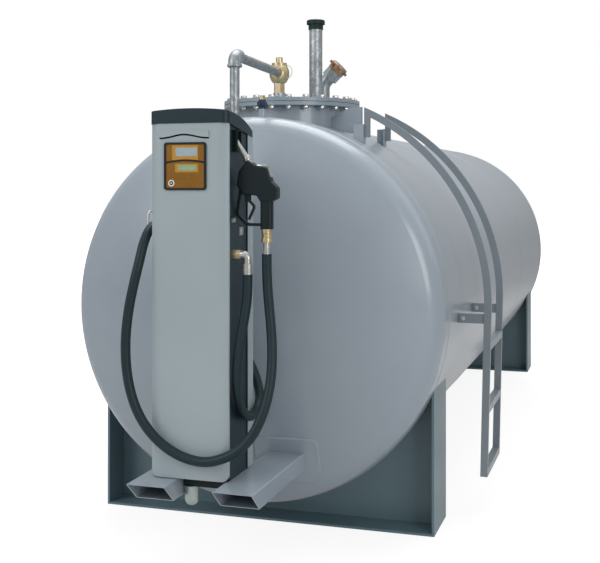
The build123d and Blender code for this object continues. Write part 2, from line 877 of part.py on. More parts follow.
# a plate on the bracket's tubes, with a box that hangs between them
base_left_x = column_left_x + column_sheet
base_right_x = bay_x - column_sheet
base_rear_y = column_rear_y - column_sheet
box_left_x = tube_xs["left"] + tube_width / 2 + base_side_gap
box_right_x = tube_xs["right"] - tube_width / 2 - base_side_gap
box_front_y = bay_front_y + base_setback
with BuildPart() as base_plate:
    with BuildSketch(Plane.XY.offset(tube_top_z)):
        with Locations(((base_left_x + base_right_x) / 2, (bay_front_y + base_rear_y) / 2)):
            Rectangle(base_right_x - base_left_x, base_rear_y - bay_front_y)
    extrude(amount=base_thickness)
    with BuildSketch(Plane.XY.offset(tube_top_z)):
        with Locations(((box_left_x + box_right_x) / 2, (box_front_y + base_rear_y) / 2)):
            Rectangle(box_right_x - box_left_x, base_rear_y - box_front_y)
    extrude(amount=-base_drop)
save(base_plate, "dispenser_base")

with BuildPart() as front_panel:
    with BuildSketch(Plane.XY.offset(panel_bottom_z)):
        with BuildLine():
            front_plan(0)
        make_face()
        with BuildLine():
            front_plan(column_sheet)
        make_face(mode=Mode.SUBTRACT)
    extrude(amount=panel_height)
    split(bisect_by=hood_plane, keep=Keep.BOTTOM)
    # rounded lower corners
    corner_top_z = panel_bottom_z + panel_corner
    corner_inset = panel_corner_share * panel_corner
    with BuildSketch(upright(bay_front_y + overrun)):
        for side_x, inwards in ((column_left_x, 1), (column_right_x, -1)):
            with BuildLine():
                ThreePointArc(
                    (side_x + inwards * panel_corner, panel_bottom_z),
                    (side_x + inwards * corner_inset, panel_bottom_z + corner_inset),
                    (side_x, corner_top_z),
                )
                Polyline(
                    (side_x, corner_top_z),
                    (side_x - inwards * overrun, corner_top_z),
                    (side_x - inwards * overrun, panel_bottom_z - overrun),
                    (side_x + inwards * panel_corner, panel_bottom_z - overrun),
                    (side_x + inwards * panel_corner, panel_bottom_z),
                )
            make_face()
    extrude(amount=bay_front_y - column_front_y + 2 * overrun, mode=Mode.SUBTRACT)
    # the slot under the flap
    with BuildSketch(upright(column_front_y + panel_edge_depth)):
        with BuildLine():
            waved_edge(flap_bottom_z)
            waved_edge(flap_bottom_z - slot_height)
            Line((flap_left_x, flap_bottom_z), (flap_left_x, flap_bottom_z - slot_height))
            Line((flap_right_x, flap_bottom_z), (flap_right_x, flap_bottom_z - slot_height))
        make_face()
    extrude(amount=panel_edge_depth + overrun, mode=Mode.SUBTRACT)
save(front_panel, "dispenser_front_panel")

with BuildPart() as left_panel:
    with BuildSketch(Plane.XY.offset(panel_bottom_z)):
        with Locations((column_left_x + column_sheet / 2, (bay_front_y + bay_rear_y) / 2)):
            Rectangle(column_sheet, bay_rear_y - bay_front_y)
    extrude(amount=panel_height)
    split(bisect_by=hood_plane, keep=Keep.BOTTOM)
save(left_panel, "dispenser_left_panel")

bay_y = (bay_front_y + bay_rear_y) / 2
bay_length = bay_rear_y - bay_front_y
pocket_floor_z = nozzle_z + pocket_rise
pocket_z = pocket_floor_z + (pocket_height - pocket_floor + pocket_wall) / 2
pocket_outer_width = pocket_width + 2 * pocket_wall
with BuildPart() as bay_panel:
    with BuildSketch(Plane.XY.offset(panel_bottom_z)):
        with Locations((column_right_x - (bay_recess + column_sheet) / 2, bay_y)):
            Rectangle(bay_recess + column_sheet, bay_length)
        with Locations((column_right_x - bay_recess / 2, bay_y)):
            Rectangle(bay_recess, bay_length - 2 * column_sheet, mode=Mode.SUBTRACT)
    extrude(amount=panel_height)
    split(bisect_by=hood_plane, keep=Keep.BOTTOM)
    # the opening that the spout's pocket fills
    with Locations((bay_x, nozzle_y, pocket_z)):
        Box(
            2 * pocket_depth,
            pocket_outer_width,
            pocket_height + pocket_floor + pocket_wall,
            mode=Mode.SUBTRACT,
        )
save(bay_panel, "dispenser_bay_panel")

with BuildPart() as back_panel:
    with BuildSketch(Plane.XY.offset(panel_bottom_z)):
        with Locations((column_x, column_rear_y - back_return / 2)):
            Rectangle(column_width, back_return)
        with Locations((column_x, column_rear_y - column_sheet - back_return / 2)):
            Rectangle(column_width - 2 * column_sheet, back_return, mode=Mode.SUBTRACT)
    extrude(amount=panel_height)
    split(bisect_by=hood_plane, keep=Keep.BOTTOM)
save(back_panel, "dispenser_back_panel")

hood_front_y = column_front_y - hood_overhang
hood_rear_y = column_rear_y + hood_overhang


def under_hood(y):
    """Height of the hood's underside at a place along the column's depth."""
    return hood_front_z - hood_drop * (y - column_front_y) / column_depth


hood_length = hood_rear_y - hood_front_y
hood_left_x = column_left_x - hood_overhang
hood_right_x = column_right_x + hood_overhang
with BuildPart() as hood:
    for station_share, height_share in zip(hood_station_shares, hood_height_shares):
        station_y = hood_front_y + station_share * hood_length
        low_z = under_hood(station_y)
        high_z = low_z + height_share * hood_height
        with BuildSketch(upright(station_y)) as station:
            with BuildLine():
                Polyline(
                    (hood_left_x, high_z),
                    (hood_left_x, low_z - overrun),
                    (hood_right_x, low_z - overrun),
                    (hood_right_x, high_z),
                )
                ThreePointArc(
                    (hood_right_x, high_z), (column_x, high_z + hood_crown), (hood_left_x, high_z)
                )
            make_face()
            fillet(station.vertices().group_by(Axis.Y)[-1], radius=hood_edge_round)
    loft()
    split(bisect_by=hood_plane, keep=Keep.TOP)
    # rounded upright corners
    with BuildSketch(Plane.XY.offset(under_hood(hood_rear_y))):
        with Locations((column_x, (hood_front_y + hood_rear_y) / 2)):
            RectangleRounded(hood_right_x - hood_left_x, hood_length, hood_corner)
    extrude(amount=hood_drop + hood_height + hood_crown + overrun, mode=Mode.INTERSECT)
save(hood, "dispenser_hood")

display_x = column_x + display_offset
display_z = hood_front_z - display_drop
with BuildPart() as bezel:
    with BuildSketch(upright(column_front_y)):
        with Locations((display_x, display_z)):
            RectangleRounded(display_width, display_height, display_corner)
            RectangleRounded(
                display_width - 2 * bezel_width,
                display_height - 2 * bezel_width,
                display_corner - bezel_width / 2,
                mode=Mode.SUBTRACT,
            )
    extrude(amount=bezel_thickness)
save(bezel, "display_bezel")

with BuildPart() as display:
    with BuildSketch(upright(column_front_y)):
        with Locations((display_x, display_z)):
            RectangleRounded(
                display_width - 2 * bezel_width,
                display_height - 2 * bezel_width,
                display_corner - bezel_width / 2,
            )
    extrude(amount=display_thickness)
save(display, "display_panel")

with BuildPart() as flap:
    with BuildSketch(upright(column_front_y)):
        with BuildLine():
            waved_edge(flap_bottom_z)
            Polyline(
                (flap_left_x, flap_bottom_z),
                (flap_left_x, flap_top_z),
                (flap_right_x, flap_top_z),
                (flap_right_x, flap_bottom_z),
            )
        make_face()
    extrude(amount=flap_thickness)
save(flap, "front_flap")

bowl_at = (column_x + bowl_offset, column_front_y + bowl_setback)
bowl_top_z = tube_top_z - base_drop
with BuildPart() as bowl:
    with BuildSketch(Plane.XY.offset(bowl_top_z)):
        with Locations(bowl_at):
            Circle(bowl_collar_radius)
    extrude(amount=-bowl_collar_height)
    with BuildSketch(Plane.XY.offset(bowl_top_z)):
        with Locations(bowl_at):
            Circle(bowl_radius)
    extrude(amount=-bowl_length)
    fillet(bowl.edges().sort_by(Axis.Z)[0], radius=bowl_round)
save(bowl, "filter_bowl")

hook_z = tube_top_z + hook_rise
hook_outer_x = column_left_x - hook_reach
near_arm_y = column_front_y + hook_setback - hook_spread / 2
far_arm_y = near_arm_y + hook_spread
with BuildPart() as hook:
    tube_along(
        hook_wire_radius,
        (column_left_x, near_arm_y, hook_z),
        (hook_outer_x, near_arm_y, hook_z),
        (hook_outer_x, near_arm_y, hook_z + hook_height),
        (hook_outer_x, far_arm_y, hook_z + hook_height),
        (hook_outer_x, far_arm_y, hook_z),
        (column_left_x, far_arm_y, hook_z),
        bend=hook_bend,
    )
save(hook, "hose_hook")


# Hose outlet

outlet_x = bay_x + outlet_reach
outlet_y = column_front_y + outlet_setback
outlet_z = tube_top_z + outlet_rise
outlet_nut_end_x = bay_x + outlet_nut_length
ferrule_top_z = outlet_z - outlet_drop
with BuildPart() as outlet_nut:
    with BuildSketch(Plane.YZ.offset(bay_x)):
        with Locations((outlet_y, outlet_z)):
            RegularPolygon(outlet_nut_radius, hex_sides)
    extrude(amount=outlet_nut_length)
save(outlet_nut, "outlet_nut")

with BuildPart() as outlet_elbow:
    tube_along(
        outlet_pipe_radius,
        (outlet_nut_end_x, outlet_y, outlet_z),
        (outlet_x, outlet_y, outlet_z),
        (outlet_x, outlet_y, ferrule_top_z),
        bend=outlet_bend,
    )
save(outlet_elbow, "outlet_elbow")

with BuildPart() as outlet_ferrule:
    with BuildSketch(Plane.XY.offset(ferrule_top_z)):
        with Locations((outlet_x, outlet_y)):
            Circle(ferrule_radius)
    extrude(amount=-ferrule_length)
save(outlet_ferrule, "outlet_ferrule")


# Delivery nozzle

grip_x = nozzle_x + grip_reach
grip_bottom_z = nozzle_z - grip_drop
lever_pin_x = nozzle_x + lever_pin_reach
lever_pin_z = nozzle_z + lever_pin_rise
lug_y = (lever_thickness + lug_thickness) / 2 + lug_gap
with BuildPart() as nozzle_body:
    with BuildSketch(upright(nozzle_y)) as body_outline:
        with BuildLine():
            Polyline(
                *[
                    (nozzle_x + across * nozzle_width, nozzle_z + up * nozzle_height)
                    for across, up in nozzle_outline_shares
                ],
                close=True,
            )
        make_face()
        fillet(body_outline.vertices(), radius=nozzle_round)
    extrude(amount=nozzle_thickness / 2, both=True)
    fillet(nozzle_body.faces().filter_by(Axis.Y).edges(), radius=nozzle_edge_round)
    with BuildSketch(Plane.XY.offset(grip_bottom_z)):
        with Locations((grip_x, nozzle_y)):
            RectangleRounded(grip_width, grip_depth, grip_corner)
    extrude(amount=grip_drop + grip_root_share * nozzle_height)
    # two lugs that carry the lever's pin
    lug_z = lever_pin_z + (lug_height - lug_width) / 2
    with Locations((lever_pin_x, nozzle_y - lug_y, lug_z), (lever_pin_x, nozzle_y + lug_y, lug_z)):
        Box(lug_width, lug_thickness, lug_height)
    with BuildSketch(upright(nozzle_y)):
        with Locations((lever_pin_x, lever_pin_z)):
            Circle(lever_pin_radius)
    extrude(amount=lug_y, both=True)
save(nozzle_body, "nozzle_body")

spout_way = (-cos(radians(spout_angle)), 0, sin(radians(spout_angle)))
spout_plane = Plane(
    (nozzle_x + spout_foot_reach, nozzle_y, nozzle_z + spout_foot_rise), z_dir=spout_way
)
with BuildPart() as spout:
    with BuildSketch(spout_plane):
        Circle(spout_radius)
        Circle(spout_radius - spout_wall, mode=Mode.SUBTRACT)
    extrude(amount=spout_length)
    add(nozzle_body.part, mode=Mode.SUBTRACT)
save(spout, "nozzle_spout")

# the pocket in the bay, with a groove in its floor where the spout rests
pocket_back_x = bay_x - pocket_depth
pocket_front_x = bay_x + pocket_stand
with BuildPart() as spout_pocket:
    with Locations(((pocket_back_x + pocket_front_x) / 2, nozzle_y, pocket_z)):
        Box(
            pocket_front_x - pocket_back_x,
            pocket_outer_width,
            pocket_height + pocket_floor + pocket_wall,
        )
    with Locations((
        (pocket_back_x + pocket_front_x + overrun) / 2 + pocket_wall,
        nozzle_y,
        pocket_floor_z + pocket_height / 2,
    )):
        Box(
            pocket_front_x - pocket_back_x + overrun,
            pocket_width,
            pocket_height,
            mode=Mode.SUBTRACT,
        )
    with BuildSketch(spout_plane):
        Circle(spout_radius)
    extrude(amount=spout_length, mode=Mode.SUBTRACT)
save(spout_pocket, "nozzle_pocket")

guard_bottom_z = nozzle_z - guard_drop
with BuildPart() as guard:
    with BuildSketch(upright(nozzle_y)):
        with BuildLine():
            FilletPolyline(
                (nozzle_x + guard_root_reach, nozzle_z + guard_root_rise),
                (nozzle_x + guard_inner_reach, nozzle_z - guard_turn_drop),
                (nozzle_x + guard_turn_reach, guard_bottom_z),
                (grip_x, guard_bottom_z),
                radius=guard_bend,
            )
        trace(line_width=guard_width)
    extrude(amount=guard_thickness / 2, both=True)
    add(nozzle_body.part, mode=Mode.SUBTRACT)
save(guard, "nozzle_guard")

with BuildPart() as lever:
    with BuildSketch(upright(nozzle_y)):
        with BuildLine():
            FilletPolyline(
                (lever_pin_x, lever_pin_z),
                (nozzle_x + lever_knee_reach, nozzle_z - lever_knee_drop),
                (nozzle_x + lever_tip_reach, nozzle_z - lever_tip_drop),
                radius=lever_bend,
            )
        trace(line_width=lever_width)
        with Locations((lever_pin_x, lever_pin_z)):
            Circle(lever_eye_radius)
            Circle(lever_pin_radius + pin_play, mode=Mode.SUBTRACT)
    extrude(amount=lever_thickness / 2, both=True)
save(lever, "nozzle_lever")

tail_x = nozzle_x + tail_reach
with BuildPart() as swivel:
    with BuildSketch(Plane.XY.offset(grip_bottom_z)):
        with Locations((tail_x, nozzle_y)):
            Circle(swivel_neck_radius)
    extrude(amount=-swivel_height)
    for ring_z in (grip_bottom_z, grip_bottom_z - swivel_height + swivel_ring_height):
        with BuildSketch(Plane.XY.offset(ring_z)):
            with Locations((tail_x, nozzle_y)):
                Circle(swivel_radius)
        extrude(amount=-swivel_ring_height)
save(swivel, "nozzle_swivel")

tail_top_z = grip_bottom_z - swivel_height
with BuildPart() as hose_tail:
    with BuildSketch(Plane.XY.offset(tail_top_z)):
        with Locations((tail_x, nozzle_y)):
            Circle(tail_radius)
    extrude(amount=-tail_length)
save(hose_tail, "nozzle_hose_tail")


# Delivery hose: straight runs joined by tangent arcs

route = [Vector(*point) for point in hose_route]
hose_radii = []
for before, corner, after in zip(route, route[1:], route[2:]):
    half_turn = radians((corner - before).get_angle(after - corner)) / 2
    shorter_run = min((corner - before).length, (after - corner).length)
    hose_radii.append(hose_arc_share * shorter_run / tan(half_turn))
with BuildPart() as hose:
    with BuildLine():
        hose_line = FilletPolyline(*route, radius=hose_radii)
    with BuildSketch(Plane(route[0], z_dir=route[1] - route[0])):
        Circle(hose_radius)
    sweep(path=hose_line)
save(hose, "delivery_hose")
straight_volume = pi * hose_radius**2 * hose_line.length
print("hose radii", [round(radius) for radius in hose_radii])
print("hose length", round(hose_line.length))
print("hose volume against section times length", round(hose.part.volume / straight_volume, 4))
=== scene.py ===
# %% [markdown]
# # A steel storage tank with its own dispenser
# A long steel tank lies on two saddles. It has a bolted manhole with pipes on top, a ladder on its
# right side and a dispenser column on a bracket at its front end. The rigid shapes come from the
# CAD model, so this lesson adds the finishes, the fasteners, the welds and the hose.

# %% Load the fixed frame
import json
import math

import bmesh
import bpy
from mathutils import Matrix, Vector


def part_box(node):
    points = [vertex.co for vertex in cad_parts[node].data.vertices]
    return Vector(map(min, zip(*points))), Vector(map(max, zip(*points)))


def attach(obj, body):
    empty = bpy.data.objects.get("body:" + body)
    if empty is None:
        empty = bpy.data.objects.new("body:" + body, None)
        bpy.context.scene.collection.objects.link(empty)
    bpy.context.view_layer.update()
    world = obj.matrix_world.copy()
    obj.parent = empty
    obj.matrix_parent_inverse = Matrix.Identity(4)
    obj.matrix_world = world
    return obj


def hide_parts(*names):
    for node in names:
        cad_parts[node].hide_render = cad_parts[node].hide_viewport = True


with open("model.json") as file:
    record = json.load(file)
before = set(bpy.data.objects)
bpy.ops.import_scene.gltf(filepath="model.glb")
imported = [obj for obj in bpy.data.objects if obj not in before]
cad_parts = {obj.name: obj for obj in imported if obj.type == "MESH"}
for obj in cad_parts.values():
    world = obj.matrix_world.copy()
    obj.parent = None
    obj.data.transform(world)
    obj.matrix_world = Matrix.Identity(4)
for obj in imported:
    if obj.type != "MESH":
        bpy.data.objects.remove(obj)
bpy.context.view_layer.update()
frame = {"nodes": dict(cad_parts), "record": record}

# %% [markdown]
# ## The camera
# The photograph was taken standing, a little to the right of the tank's front end, with the camera
# held level. A level camera keeps uprights upright. The picture shows more ground than sky, so the
# lens is shifted down instead of being tilted, which would make the uprights lean.

# %% Place the camera
image_width_px = 600
image_height_px = 563
focal_px = 1046.0
horizon_px = 186.0
eye_place = (1.50185, -4.3392, 1.42153)
eye_turn_degrees = 17.646

camera_data = bpy.data.cameras.new("standing_view")
camera_data.lens = camera_data.sensor_width * focal_px / image_width_px
camera_data.shift_y = (horizon_px - image_height_px / 2) / image_width_px
camera = bpy.data.objects.new("standing_view", camera_data)
camera.location = eye_place
camera.rotation_euler = (math.radians(90), 0, math.radians(eye_turn_degrees))
bpy.context.collection.objects.link(camera)
bpy.context.scene.camera = camera
print("lens", round(camera_data.lens, 2), "mm, shift", round(camera_data.shift_y, 4))

# %% [markdown]
# ## Colours and nodes
# Paint charts and colour pickers give sRGB values, but shaders work in linear light, so one
# function turns a hex value into linear numbers. Another adds a node, fills in its settings and
# links its sockets. A third starts a material with the two nodes that every finish here needs.

# %% Small helpers for materials
def linear(hex_colour):
    """Turn an sRGB hex value such as "8f959b" into linear red, green, blue and alpha."""
    channels = [int(hex_colour[start:start + 2], 16) / 255 for start in (0, 2, 4)]
    return [c / 12.92 if c <= 0.04045 else ((c + 0.055) / 1.055) ** 2.4 for c in channels] + [1.0]


def add_node(tree, kind, settings=None, links=None):
    """Add a node, set its sockets or properties by name, and link sockets to it."""
    node = tree.nodes.new(kind)
    for name, value in (settings or {}).items():
        if isinstance(name, int) or name in node.inputs:
            node.inputs[name].default_value = value
        else:
            setattr(node, name, value)
    for name, source in (links or {}).items():
        tree.links.new(source, node.inputs[name])
    return node


def start_finish(name, **constants):
    """Start a material: its shader with constant sockets set, and the object's own coordinates."""
    finish = bpy.data.materials.new(name)
    finish.use_nodes = True
    tree = finish.node_tree
    shader = tree.nodes["Principled BSDF"]
    for socket, value in constants.items():
        shader.inputs[socket.replace("_", " ")].default_value = value
    place = add_node(tree, "ShaderNodeTexCoord").outputs["Object"]
    return finish, tree, shader, place


def per_metre(millimetres):
    """Scale of a noise whose features are about so many millimetres across."""
    return 1000.0 / millimetres


print("mid grey is", [round(c, 3) for c in linear("808080")])

# %% [markdown]
# ## Satin paint on steel plate
# The tank is sprayed with a grey alkyd paint. Sprayed paint has a fine orange peel that softens
# reflections, and a tank that has stood outside is a little uneven in tone and gloss. Two noises do
# that: a slow one for tone and a fine one for the peel. The peel is drawn coarser than the real
# one, because at this distance a real one of 2 mm would be lost between pixels. A clear coat stands
# for the paint's smooth skin. It hardly shows from the front, but reflects well at a low angle, so
# the tank's long side gets more of it.

# %% Paint for the plate work
def sprayed_paint(
    name, light_hex, dark_hex, roughness, peel_mm=9.0, patch_mm=420.0, lacquer=0.2
):
    """Satin paint whose tone drifts between two greys, with a soft orange peel."""
    finish, tree, shader, place = start_finish(name, Coat_Weight=lacquer, Coat_Roughness=0.16)
    patches = add_node(
        tree, "ShaderNodeTexNoise",
        {"Scale": per_metre(patch_mm), "Detail": 4.0, "Roughness": 0.55}, {"Vector": place},
    )
    tone = add_node(
        tree, "ShaderNodeMix",
        {"data_type": "RGBA", 6: linear(dark_hex), 7: linear(light_hex)},
        {"Factor": patches.outputs["Fac"]},
    )
    tree.links.new(tone.outputs[2], shader.inputs["Base Color"])
    gloss = add_node(
        tree, "ShaderNodeMapRange", {"To Min": roughness - 0.05, "To Max": roughness + 0.05},
        {"Value": patches.outputs["Fac"]},
    )
    tree.links.new(gloss.outputs["Result"], shader.inputs["Roughness"])
    peel = add_node(
        tree, "ShaderNodeTexNoise", {"Scale": per_metre(peel_mm), "Detail": 2.0}, {"Vector": place}
    )
    bump = add_node(
        tree, "ShaderNodeBump", {"Strength": 0.05, "Distance": 0.001},
        {"Height": peel.outputs["Fac"]},
    )
    tree.links.new(bump.outputs["Normal"], shader.inputs["Normal"])
    return finish


tank_paint = sprayed_paint("satin_alkyd_silver_grey", "9da8b2", "8e99a3", 0.34, lacquer=0.5)
saddle_paint = sprayed_paint("satin_alkyd_slate", "667f87", "587078", 0.42)
cover_paint = sprayed_paint("satin_alkyd_blue_grey", "8f9da6", "828f98", 0.40)
ladder_paint = sprayed_paint("satin_alkyd_ladder_grey", "828c93", "727c83", 0.38)
column_paint = sprayed_paint("powder_coat_silver", "a0adb2", "95a2a7", 0.36, peel_mm=5.0)
white_coating = sprayed_paint("powder_coat_white", "e6e6e2", "d9d9d4", 0.35, peel_mm=5.0)
navy_paint = sprayed_paint("gloss_enamel_navy", "193550", "10253a", 0.25, patch_mm=40.0)
print("paints", len(bpy.data.materials))

# %% [markdown]
# ## Galvanised pipe
# Hot-dip galvanising leaves zinc crystals, the spangle, as flat patches of slightly different
# grey. A Voronoi texture gives every cell its own value, which suits that. Zinc dulls as it
# weathers, so a noise adds darker clouds. It is a metal, so the base colour tints its reflections.

# %% Zinc finishes
def zinc_coat(name, light_hex, dark_hex, spangle_mm, roughness):
    """Dull zinc with crystal patches and weathered clouds."""
    finish, tree, shader, place = start_finish(name, Metallic=0.85)
    spangle = add_node(
        tree, "ShaderNodeTexVoronoi", {"Scale": per_metre(spangle_mm)}, {"Vector": place}
    )
    clouds = add_node(
        tree, "ShaderNodeTexNoise", {"Scale": per_metre(spangle_mm * 5), "Detail": 5.0},
        {"Vector": place},
    )
    weather = add_node(
        tree, "ShaderNodeMix", {"data_type": "FLOAT", "Factor": 0.6},
        {"A": spangle.outputs["Color"], "B": clouds.outputs["Fac"]},
    )
    tone = add_node(
        tree, "ShaderNodeMix",
        {"data_type": "RGBA", 6: linear(dark_hex), 7: linear(light_hex)},
        {"Factor": weather.outputs[0]},
    )
    tree.links.new(tone.outputs[2], shader.inputs["Base Color"])
    gloss = add_node(
        tree, "ShaderNodeMapRange", {"To Min": roughness + 0.12, "To Max": roughness - 0.08},
        {"Value": weather.outputs[0]},
    )
    tree.links.new(gloss.outputs["Result"], shader.inputs["Roughness"])
    return finish


galvanised = zinc_coat("hot_dip_galvanised_steel", "ccd2d5", "5c666b", 14.0, 0.45)
plated_steel = zinc_coat("bright_zinc_plated_steel", "dcdcd8", "a9a9a6", 6.0, 0.28)
print("zinc finishes", galvanised.name, plated_steel.name)

# %% [markdown]
# ## Brass and bronze
# Valves and couplings are cast or turned brass, and the fill cap is a browner bronze. Handling
# polishes the high places, and the rest goes brown, so the tone runs from bright to dull and the
# gloss follows it.

# %% Brass and bronze
def copper_alloy(name, bright_hex, dull_hex):
    """Brass or bronze that is polished in places and tarnished in others."""
    finish, tree, shader, place = start_finish(name, Metallic=1.0)
    tarnish = add_node(
        tree, "ShaderNodeTexNoise", {"Scale": per_metre(22), "Detail": 6.0, "Roughness": 0.6},
        {"Vector": place},
    )
    tone = add_node(
        tree, "ShaderNodeMix", {"data_type": "RGBA", 6: linear(dull_hex), 7: linear(bright_hex)},
        {"Factor": tarnish.outputs["Fac"]},
    )
    tree.links.new(tone.outputs[2], shader.inputs["Base Color"])
    gloss = add_node(
        tree, "ShaderNodeMapRange", {"To Min": 0.50, "To Max": 0.28},
        {"Value": tarnish.outputs["Fac"]},
    )
    tree.links.new(gloss.outputs["Result"], shader.inputs["Roughness"])
    return finish


brass = copper_alloy("turned_brass", "ecdbb2", "a09172")
bronze = copper_alloy("cast_bronze", "c7a68a", "806a56")
print("copper alloys", brass.name, bronze.name)

# %% [markdown]
# ## Moulded plastics, rubber and a casting
# The dispenser's dark parts are moulded plastic with a spark-eroded grain, and the hose is black
# rubber. Both are dark, so what the eye sees is mostly their sheen. A fine grain in the bump and a
# little change in roughness keep them from looking like flat black. A sand casting has a grain of
# the same kind, so the aluminium filter bowl uses the same function with a metal's reflections.

# %% Plastics, rubber and cast aluminium
def moulded(name, light_hex, dark_hex, roughness, grain_mm, grain_depth, metallic=0.0):
    """A moulded or cast surface with a fine grain."""
    finish, tree, shader, place = start_finish(
        name, Specular_IOR_Level=0.25, Metallic=metallic
    )
    grain = add_node(
        tree, "ShaderNodeTexNoise", {"Scale": per_metre(grain_mm), "Detail": 3.0},
        {"Vector": place},
    )
    tone = add_node(
        tree, "ShaderNodeMix",
        {"data_type": "RGBA", 6: linear(dark_hex), 7: linear(light_hex)},
        {"Factor": grain.outputs["Fac"]},
    )
    tree.links.new(tone.outputs[2], shader.inputs["Base Color"])
    gloss = add_node(
        tree, "ShaderNodeMapRange", {"To Min": roughness - 0.06, "To Max": roughness + 0.06},
        {"Value": grain.outputs["Fac"]},
    )
    tree.links.new(gloss.outputs["Result"], shader.inputs["Roughness"])
    bump = add_node(
        tree, "ShaderNodeBump", {"Strength": 0.25, "Distance": grain_depth},
        {"Height": grain.outputs["Fac"]},
    )
    tree.links.new(bump.outputs["Normal"], shader.inputs["Normal"])
    return finish


black_plastic = moulded("moulded_black_abs", "152426", "0d1719", 0.40, 3.0, 0.0003)
hood_plastic = moulded("moulded_slate_abs", "22363d", "192a30", 0.38, 4.0, 0.0003)
vent_plastic = moulded("moulded_green_black_nylon", "1d3532", "132523", 0.50, 3.0, 0.0003)
hose_rubber = moulded("extruded_black_rubber", "21353a", "16252a", 0.44, 4.0, 0.0002)
seal_rubber = moulded("sheet_gasket_rubber", "747f86", "666f76", 0.65, 3.0, 0.0003)
cast_aluminium = moulded(
    "sand_cast_aluminium", "b9c4c1", "9fa9a6", 0.34, 3.0, 0.0004, metallic=0.9
)
print("finishes so far", len(bpy.data.materials))

# %% [markdown]
# ## The display's face
# The display sits behind a brown smoked acrylic sheet, whose gloss is that of a polished plastic.

# %% Smoked acrylic
smoked_acrylic, tree, shader, place = start_finish(
    "smoked_brown_acrylic", IOR=1.49, Coat_Weight=0.3, Coat_Roughness=0.05
)
haze = add_node(
    tree, "ShaderNodeTexNoise", {"Scale": per_metre(60), "Detail": 2.0}, {"Vector": place}
)
tone = add_node(
    tree, "ShaderNodeMix", {"data_type": "RGBA", 6: linear("7a5013"), 7: linear("8f631c")},
    {"Factor": haze.outputs["Fac"]},
)
tree.links.new(tone.outputs[2], shader.inputs["Base Color"])
gloss = add_node(
    tree, "ShaderNodeMapRange", {"To Min": 0.14, "To Max": 0.22}, {"Value": haze.outputs["Fac"]}
)
tree.links.new(gloss.outputs["Result"], shader.inputs["Roughness"])
print("acrylic", smoked_acrylic.name)

# %% [markdown]
# ## Finishes on the CAD nodes
# The record lists a material slot for every node. One table from slot to finish then dresses the
# whole model, and a node that is added later only needs its slot. The fill cap shares the slot of
# the brass pieces, so its bronze is set after them.

# %% Give every CAD node its finish
finish_of_slot = {
    "tank_paint": tank_paint,
    "saddle_paint": saddle_paint,
    "cover_paint": cover_paint,
    "seal_rubber": seal_rubber,
    "galvanised_steel": galvanised,
    "vent_plastic": vent_plastic,
    "brass": brass,
    "blue_paint": navy_paint,
    "ladder_paint": ladder_paint,
    "column_paint": column_paint,
    "black_plastic": black_plastic,
    "hood_plastic": hood_plastic,
    "display_plastic": smoked_acrylic,
    "cast_aluminium": cast_aluminium,
    "white_coating": white_coating,
    "plated_steel": plated_steel,
    "hose_rubber": hose_rubber,
}
for subpart in frame["record"]["subparts"]:
    node = frame["nodes"][subpart["node"]]
    node.data.materials.clear()
    node.data.materials.append(finish_of_slot[subpart["material_slot"]])
frame["nodes"]["fill_cap"].data.materials[0] = bronze

# %% [markdown]
# ## The delivery hose
# The hose is a fixed length of black rubber. It leaves the outlet straight down, swings behind the
# column, rests on the wire hook at the left, hangs in a wide loop across the front and rises to the
# nozzle. A NURBS spline through a few control points bends as smoothly as rubber does. Its order is
# set after the points are added, because set before, it would stay a line of straight runs.

# %% Lay the hose
hose_radius = 0.018
hose_route = [
    (0.184, -0.816, 1.104), (0.184, -0.816, 1.030), (0.176, -0.822, 0.960),
    (0.163, -0.829, 0.880), (0.152, -0.833, 0.795), (0.147, -0.827, 0.708),
    (0.147, -0.802, 0.630), (0.149, -0.752, 0.582), (0.151, -0.690, 0.564),
    (0.152, -0.628, 0.576), (0.147, -0.577, 0.614), (0.122, -0.551, 0.682),
    (0.076, -0.542, 0.768), (0.020, -0.543, 0.858), (-0.036, -0.546, 0.952),
    (-0.095, -0.554, 1.046), (-0.152, -0.568, 1.130), (-0.198, -0.602, 1.210),
    (-0.210, -0.664, 1.262), (-0.211, -0.732, 1.281), (-0.211, -0.798, 1.266),
    (-0.211, -0.848, 1.218), (-0.216, -0.876, 1.146), (-0.233, -0.888, 1.062),
    (-0.252, -0.894, 0.964), (-0.263, -0.898, 0.846), (-0.252, -0.901, 0.712),
    (-0.211, -0.904, 0.596), (-0.140, -0.906, 0.510), (-0.048, -0.907, 0.456),
    (0.050, -0.907, 0.437), (0.132, -0.905, 0.460), (0.196, -0.899, 0.500),
    (0.240, -0.887, 0.560), (0.266, -0.869, 0.630), (0.279, -0.844, 0.710),
    (0.279, -0.819, 0.800), (0.269, -0.799, 0.896), (0.254, -0.786, 0.996),
    (0.244, -0.780, 1.098), (0.244, -0.780, 1.176),
]
hose_curve = bpy.data.curves.new("delivery_hose_rubber", "CURVE")
hose_curve.dimensions = "3D"
spline = hose_curve.splines.new("NURBS")
spline.points.add(len(hose_route) - 1)
for point, spot in zip(spline.points, hose_route):
    point.co = (*spot, 1.0)
spline.order_u = 3
spline.use_endpoint_u = True
spline.resolution_u = 8
hose_curve.bevel_depth = hose_radius
hose_curve.bevel_resolution = 6
hose_curve.use_fill_caps = True
hose_curve.materials.append(hose_rubber)
hose = bpy.data.objects.new("delivery_hose_rubber", hose_curve)
bpy.context.collection.objects.link(hose)
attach(hose, "tank")
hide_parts("delivery_hose")
print("hose control points", len(hose_route))

# %% [markdown]
# ## The floor
# The tank stands on a plain pale floor. The camera sees it white, and it glows less near the tank,
# so that a soft shadow is left there. Reflections see only the floor close by as bright, which
# draws the pale band low on the shell's side. Distances are measured from the tank's middle and
# shortened along its length, so that lines of equal glow follow the tank's long shape.

